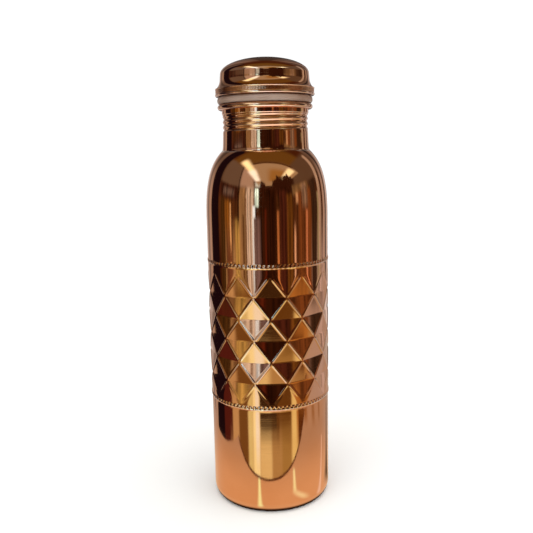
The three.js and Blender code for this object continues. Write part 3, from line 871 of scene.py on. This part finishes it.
# The wall's ragged top: its elevation is TOP_BASE plus noise of 0 to 1 times TOP_SWING, and is
# raised by TALLER over a range of bearings.
TOP_BASE, TOP_SWING, TOP_BLUR = 5, 26, 2
TOP_NOISE = dict(scale=9, detail=6, stretch=(1, 1, 0.35))
TALLER, TALLER_RANGE, TALLER_EDGE = 9, (12, 50), 6
# Fine upright streaks over the room: brightness from STREAK_DARK upwards, and elevations.
STREAK_NOISE = dict(scale=24, detail=5, stretch=(1, 1, 0.03))
STREAK_STEP = (0.32, 0.68)
STREAK_DARK, STREAK_SWING = 0.45, 1.1
STREAK_RANGE, STREAK_EDGE = (-17, 14), 3
BACKDROP = (1.05, 1.05, 1.05)
CEILING_LEAST = 0.04  # least upward share of a direction that is divided by


class Studio:
    """The world's light, painted card over card as a function of direction."""

    def __init__(self):
        world = bpy.data.worlds.new("studio")
        world.use_nodes = True
        bpy.context.scene.world = world
        self.nodes, self.links = world.node_tree.nodes, world.node_tree.links
        self.nodes.clear()
        place = self.nodes.new("ShaderNodeTexCoord")
        self.direction = place.outputs["Generated"]
        split = self.nodes.new("ShaderNodeSeparateXYZ")
        self.links.new(self.direction, split.inputs["Vector"])
        right, back, up = split.outputs
        front = self.math("MULTIPLY", back, -1)
        self.bearing = self.math("DEGREES", self.math("ARCTAN2", right, front))
        self.elevation = self.math("DEGREES", self.math("ARCSINE", up))
        height = self.math("MAXIMUM", up, CEILING_LEAST)
        self.rightwards = self.math("DIVIDE", right, height)
        self.frontwards = self.math("DIVIDE", front, height)
        self.from_front = self.math("ABSOLUTE", self.bearing)

    def math(self, operation, *values):
        node = self.nodes.new("ShaderNodeMath")
        node.operation = operation
        for socket, value in zip(node.inputs, values):
            if isinstance(value, (int, float)):
                socket.default_value = value
            else:
                self.links.new(value, socket)
        return node.outputs["Value"]

    def step(self, value, low, high):
        """0 at low and 1 at high, eased; low may be the higher of the two."""
        return range_node(self.nodes, self.links, value, low, high, smooth=True)

    def within(self, value, limits, soft):
        """1 inside the limits and 0 outside, with soft edges."""
        low, high = limits
        above = self.step(value, low - soft, low + soft)
        below = self.step(value, high + soft, high - soft)
        return self.math("MULTIPLY", above, below)

    def mix(self, share, a, b):
        return mix_node(self.nodes, self.links, share, a, b)

    def card(self, colour, across, ranges, soft, card_colour):
        """The colour with one card painted over it."""
        masks = [self.within(value, limits, soft) for value, limits in zip(across, ranges)]
        return self.mix(self.math("MULTIPLY", *masks), colour, card_colour)

    def noise(self, **look):
        return noise_node(self.nodes, self.links, self.direction, **look)

    def back_shapes(self):
        """How bright the back wall is at each bearing, 1 where it is plain."""
        first, last = BACK_RANGE
        around = self.math("MODULO", self.math("ADD", self.bearing, 360), 360)
        share = self.math("DIVIDE", self.math("SUBTRACT", around, first), last - first)
        stops = [(0, 1)]
        for start, end, bright in BACK_SHAPES:
            edges = ((start - BACK_EDGE, 1), (start, bright), (end - BACK_EDGE, bright), (end, 1))
            stops += [((place - first) / (last - first), tone) for place, tone in edges]
        greys = [(place, (tone, tone, tone)) for place, tone in stops]
        return ramp_node(self.nodes, self.links, share, greys)

    def scaled(self, colour, factor):
        node = self.nodes.new("ShaderNodeVectorMath")
        node.operation = "SCALE"
        self.links.new(colour, node.inputs[0])
        self.links.new(factor, node.inputs["Scale"])
        return node.outputs["Vector"]

    def finish(self, colour, backdrop):
        """The camera sees the plain backdrop, and everything else the room."""
        seen = self.nodes.new("ShaderNodeLightPath")
        light = self.nodes.new("ShaderNodeBackground")
        mixed = self.mix(seen.outputs["Is Camera Ray"], colour, backdrop)
        self.links.new(mixed, light.inputs["Color"])
        output = self.nodes.new("ShaderNodeOutputWorld")
        self.links.new(light.outputs["Background"], output.inputs["Surface"])


def room_light():
    """The room: walls, cards and ceiling, then streaks, the wall behind, and the doorway."""
    studio = Studio()
    level = (studio.bearing, studio.elevation)
    colour = studio.mix(studio.step(studio.elevation, *WALL_CHANGE), WALL_LOW, WALL_HIGH)
    for across, climb, soft, radiance in ROOM_CARDS:
        colour = studio.card(colour, level, (across, climb), soft, radiance)

    ceiling = (studio.rightwards, studio.frontwards)
    painted = colour
    for across, ahead, soft, radiance in CEILING_CARDS:
        painted = studio.card(painted, ceiling, (across, ahead), soft, radiance)
    ragged = studio.math("MULTIPLY_ADD", studio.noise(**TOP_NOISE), TOP_SWING, TOP_BASE)
    taller = studio.within(studio.bearing, TALLER_RANGE, TALLER_EDGE)
    top = studio.math("MULTIPLY_ADD", taller, TALLER, ragged)
    above = studio.math("SUBTRACT", studio.elevation, top)
    colour = studio.mix(studio.step(above, -TOP_BLUR, TOP_BLUR), colour, painted)

    streaks = studio.step(studio.noise(**STREAK_NOISE), *STREAK_STEP)
    streaks = studio.math("MULTIPLY_ADD", streaks, STREAK_SWING, STREAK_DARK)
    strength = studio.within(studio.elevation, STREAK_RANGE, STREAK_EDGE)
    change = studio.math("SUBTRACT", streaks, 1)
    colour = studio.scaled(colour, studio.math("MULTIPLY_ADD", change, strength, 1))

    behind = studio.step(studio.from_front, BACK_RANGE[0], BACK_RANGE[0] + BACK_BLEND)
    below_top = studio.step(studio.elevation, *BACK_TOP)
    back_wall = studio.mix(studio.step(studio.elevation, *BACK_CHANGE), BACK_LOW, BACK_HIGH)
    back_wall = studio.scaled(back_wall, studio.back_shapes())
    colour = studio.mix(studio.math("MULTIPLY", behind, below_top), colour, back_wall)
    studio.finish(studio.card(colour, level, *DOORWAY), BACKDROP)


def plane(name, corners):
    """A level sheet of the studio."""
    mesh = bpy.data.meshes.new(name)
    mesh.from_pydata([(x, y, 0) for x, y in corners], [], [tuple(range(len(corners)))])
    obj = bpy.data.objects.new(name, mesh)
    bpy.context.scene.collection.objects.link(obj)
    return obj


def pale_floor():
    """The floor that the camera sees."""
    quarters = ((-1, -1), (1, -1), (1, 1), (-1, 1))
    floor = plane("floor", [(x * FLOOR_HALF, y * FLOOR_HALF) for x, y in quarters])
    material, *_, shader = new_material("floor")
    shader.inputs["Base Color"].default_value = (*FLOOR_COLOUR, 1)
    shader.inputs["Roughness"].default_value = 0.9
    shader.inputs["Specular IOR Level"].default_value = 0.1
    floor.data.materials.append(material)
    floor.visible_glossy = False


def table_top():
    """The small table under the bottle, seen only in the copper: its near edge shows there as the
    dark outline low on the wall, and its sheen as pale streaks under it."""

    def front(x):
        return TABLE_FRONT + TABLE_FRONT_SLOPE * x

    table = plane("table_top", [
        (TABLE_LEFT, front(TABLE_LEFT)), (TABLE_RIGHT, front(TABLE_RIGHT)),
        (TABLE_RIGHT, TABLE_BACK), (TABLE_LEFT, TABLE_BACK),
    ])
    material, nodes, links, shader = new_material("table_top")
    place = nodes.new("ShaderNodeTexCoord").outputs["Object"]

    def measure(operation, vector, low, high):
        """0 to 1 as the distance from a point, or along a direction, goes from low to high."""
        node = nodes.new("ShaderNodeVectorMath")
        node.operation = operation
        node.inputs[1].default_value = vector
        links.new(place, node.inputs[0])
        return range_node(nodes, links, node.outputs["Value"], low, high, smooth=True)

    def product(a, b):
        node = nodes.new("ShaderNodeMath")
        node.operation = "MULTIPLY"
        links.new(a, node.inputs[0])
        links.new(b, node.inputs[1])
        return node.outputs["Value"]

    fall_off = measure("DISTANCE", (0, 0, 0), *TABLE_FALL_OFF)
    colour = mix_node(nodes, links, fall_off, TABLE_GLOW, TABLE_FAR_GLOW)
    for start, end, width, glow in TABLE_STREAKS:
        start, end = Vector((*start, 0)), Vector((*end, 0))
        along = (end - start).normalized()
        across = Vector((-along.y, along.x, 0))
        middle, first, last = across.dot(start), along.dot(start), along.dot(end)
        inside = measure("DOT_PRODUCT", across, middle - width, middle)
        for direction, low, high in (
            (across, middle + width, middle),
            (along, first - width, first + width),
            (along, last + width, last - width),
        ):
            inside = product(inside, measure("DOT_PRODUCT", direction, low, high))
        colour = mix_node(nodes, links, inside, colour, glow)
    near = TABLE_FRONT + TABLE_EDGE
    past_edge = measure("DOT_PRODUCT", (-TABLE_FRONT_SLOPE, 1, 0), near, near + TABLE_EDGE_BLUR)
    colour = mix_node(nodes, links, past_edge, TABLE_EDGE_GLOW, colour)
    past_shadow = measure("DISTANCE", (0, 0, 0), *TABLE_SHADOW_RIM)
    colour = mix_node(nodes, links, past_shadow, TABLE_SHADOW, colour)
    shader.inputs["Base Color"].default_value = (0, 0, 0, 1)
    shader.inputs["Specular IOR Level"].default_value = 0
    shader.inputs["Emission Strength"].default_value = 1
    links.new(colour, shader.inputs["Emission Color"])
    table.data.materials.append(material)
    table.location.z = TABLE_LIFT
    table.visible_camera = False
    table.visible_diffuse = False
    table.visible_shadow = False


def overhead_light():
    """A wide soft light from above, kept out of the copper's reflections."""
    data = bpy.data.lights.new("overhead", "SUN")
    data.angle = math.radians(SUN_WIDTH)
    data.energy = SUN_STRENGTH
    lamp = bpy.data.objects.new("overhead", data)
    bpy.context.scene.collection.objects.link(lamp)
    lamp.rotation_euler = (math.radians(SUN_TILT[0]), math.radians(SUN_TILT[1]), 0)
    lamp.visible_glossy = False


room_light()
pale_floor()
table_top()
overhead_light()
bpy.context.scene.view_settings.view_transform = "Standard"
